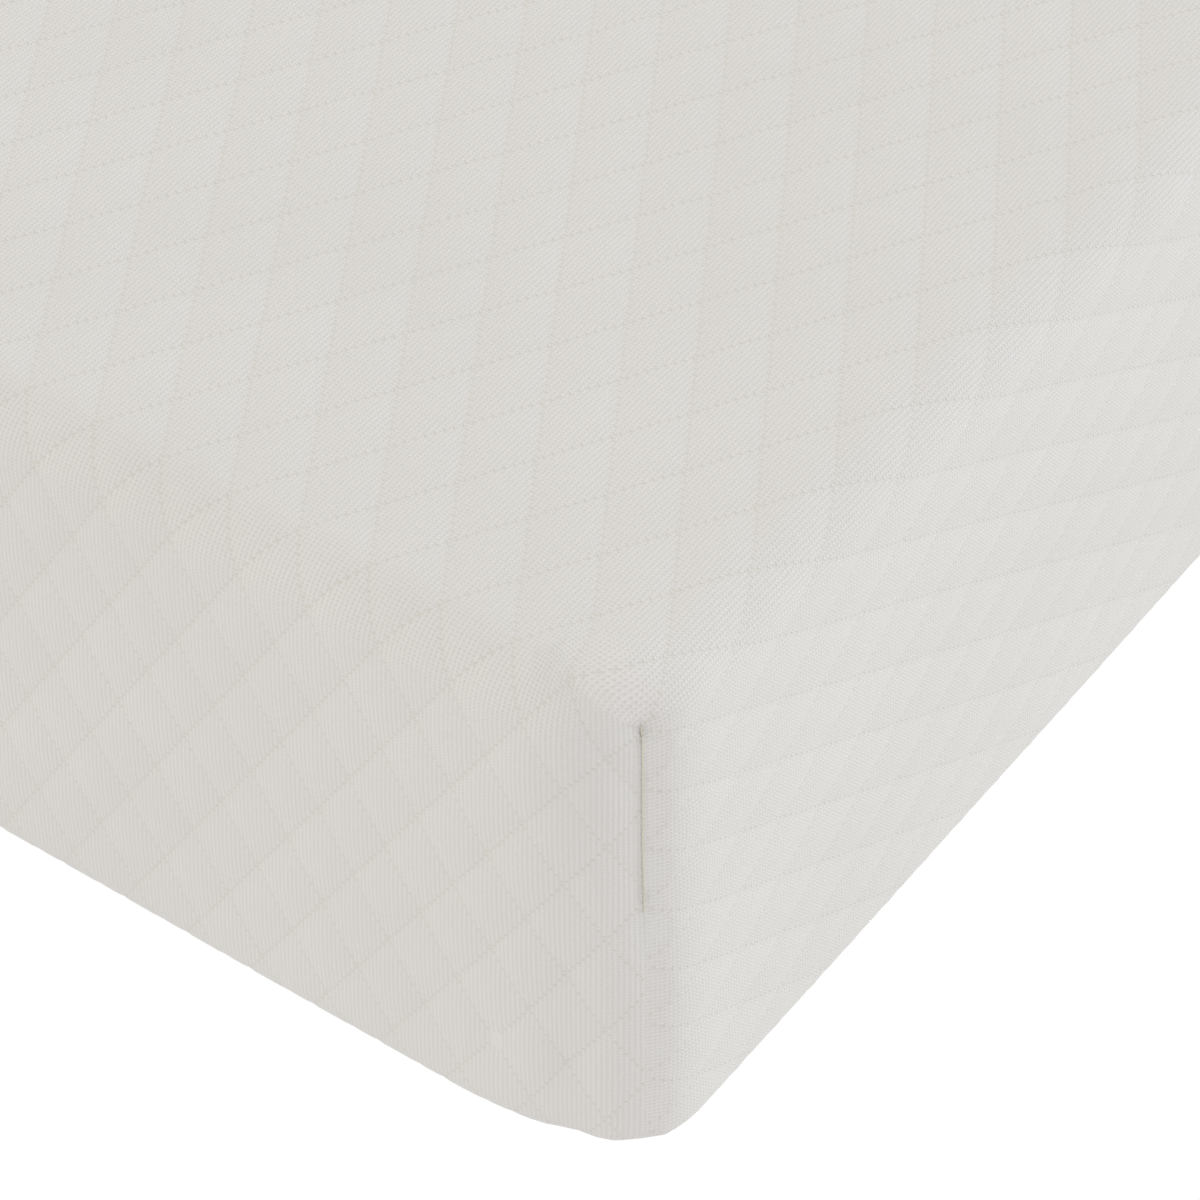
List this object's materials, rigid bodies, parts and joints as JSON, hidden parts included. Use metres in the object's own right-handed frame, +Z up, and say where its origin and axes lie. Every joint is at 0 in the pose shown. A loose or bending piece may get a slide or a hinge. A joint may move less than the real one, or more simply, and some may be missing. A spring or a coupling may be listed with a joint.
{
  "type": "memory foam mattress",
  "caption": "Single memory foam mattress with a zipped quilted knit cover over a liner and a layered foam core.",
  "frame": {"origin": "middle of the underside, on the surface the mattress lies on", "axes": "+Z up out of the sleeping surface, +Y towards the head end, +X towards the right-hand long side"},
  "size_m": [0.9, 1.9, 0.2],
  "materials": {
    "face_knit": "matte",
    "wadding": "matte",
    "backing": "matte",
    "base_knit": "matte",
    "zip_tape": "matte",
    "zip_coil": "satin",
    "zip_metal": "satin",
    "liner_knit": "matte",
    "memory_foam": "matte",
    "base_foam": "matte"
  },
  "bodies": {
    "mattress": {"quilt_face_fabric": "face_knit", "quilt_wadding": "wadding", "quilt_backing": "backing", "corner_seam_foot_left": "face_knit", "corner_seam_foot_right": "face_knit", "corner_seam_head_right": "face_knit", "corner_seam_head_left": "face_knit", "base_panel_fabric": "base_knit", "base_panel_wadding": "wadding", "zip_tape_outer": "zip_tape", "zip_tape_inner": "zip_tape", "zip_coil_outer": "zip_coil", "zip_coil_inner": "zip_coil", "zip_top_stop_outer": "zip_metal", "zip_top_stop_inner": "zip_metal", "zip_bottom_stop": "zip_metal", "inner_liner": "liner_knit", "memory_foam_layer": "memory_foam", "base_foam_layer": "base_foam"},
    "zip_slider": {"zip_slider": "zip_metal"},
    "zip_pull": {"zip_pull_tab": "zip_metal"}
  },
  "joints": [
    {"name": "zip_slide", "type": "slide", "parent": "mattress", "child": "zip_slider", "axis": [0, -1, 0], "range_m": [0, 1.66]},
    {"name": "zip_pull_swing", "type": "hinge", "parent": "zip_slider", "child": "zip_pull", "pos_m": [-0.3975, 0.83, 0.0022], "axis": [1, 0, 0], "range_deg": [0, 180]}
  ]
}
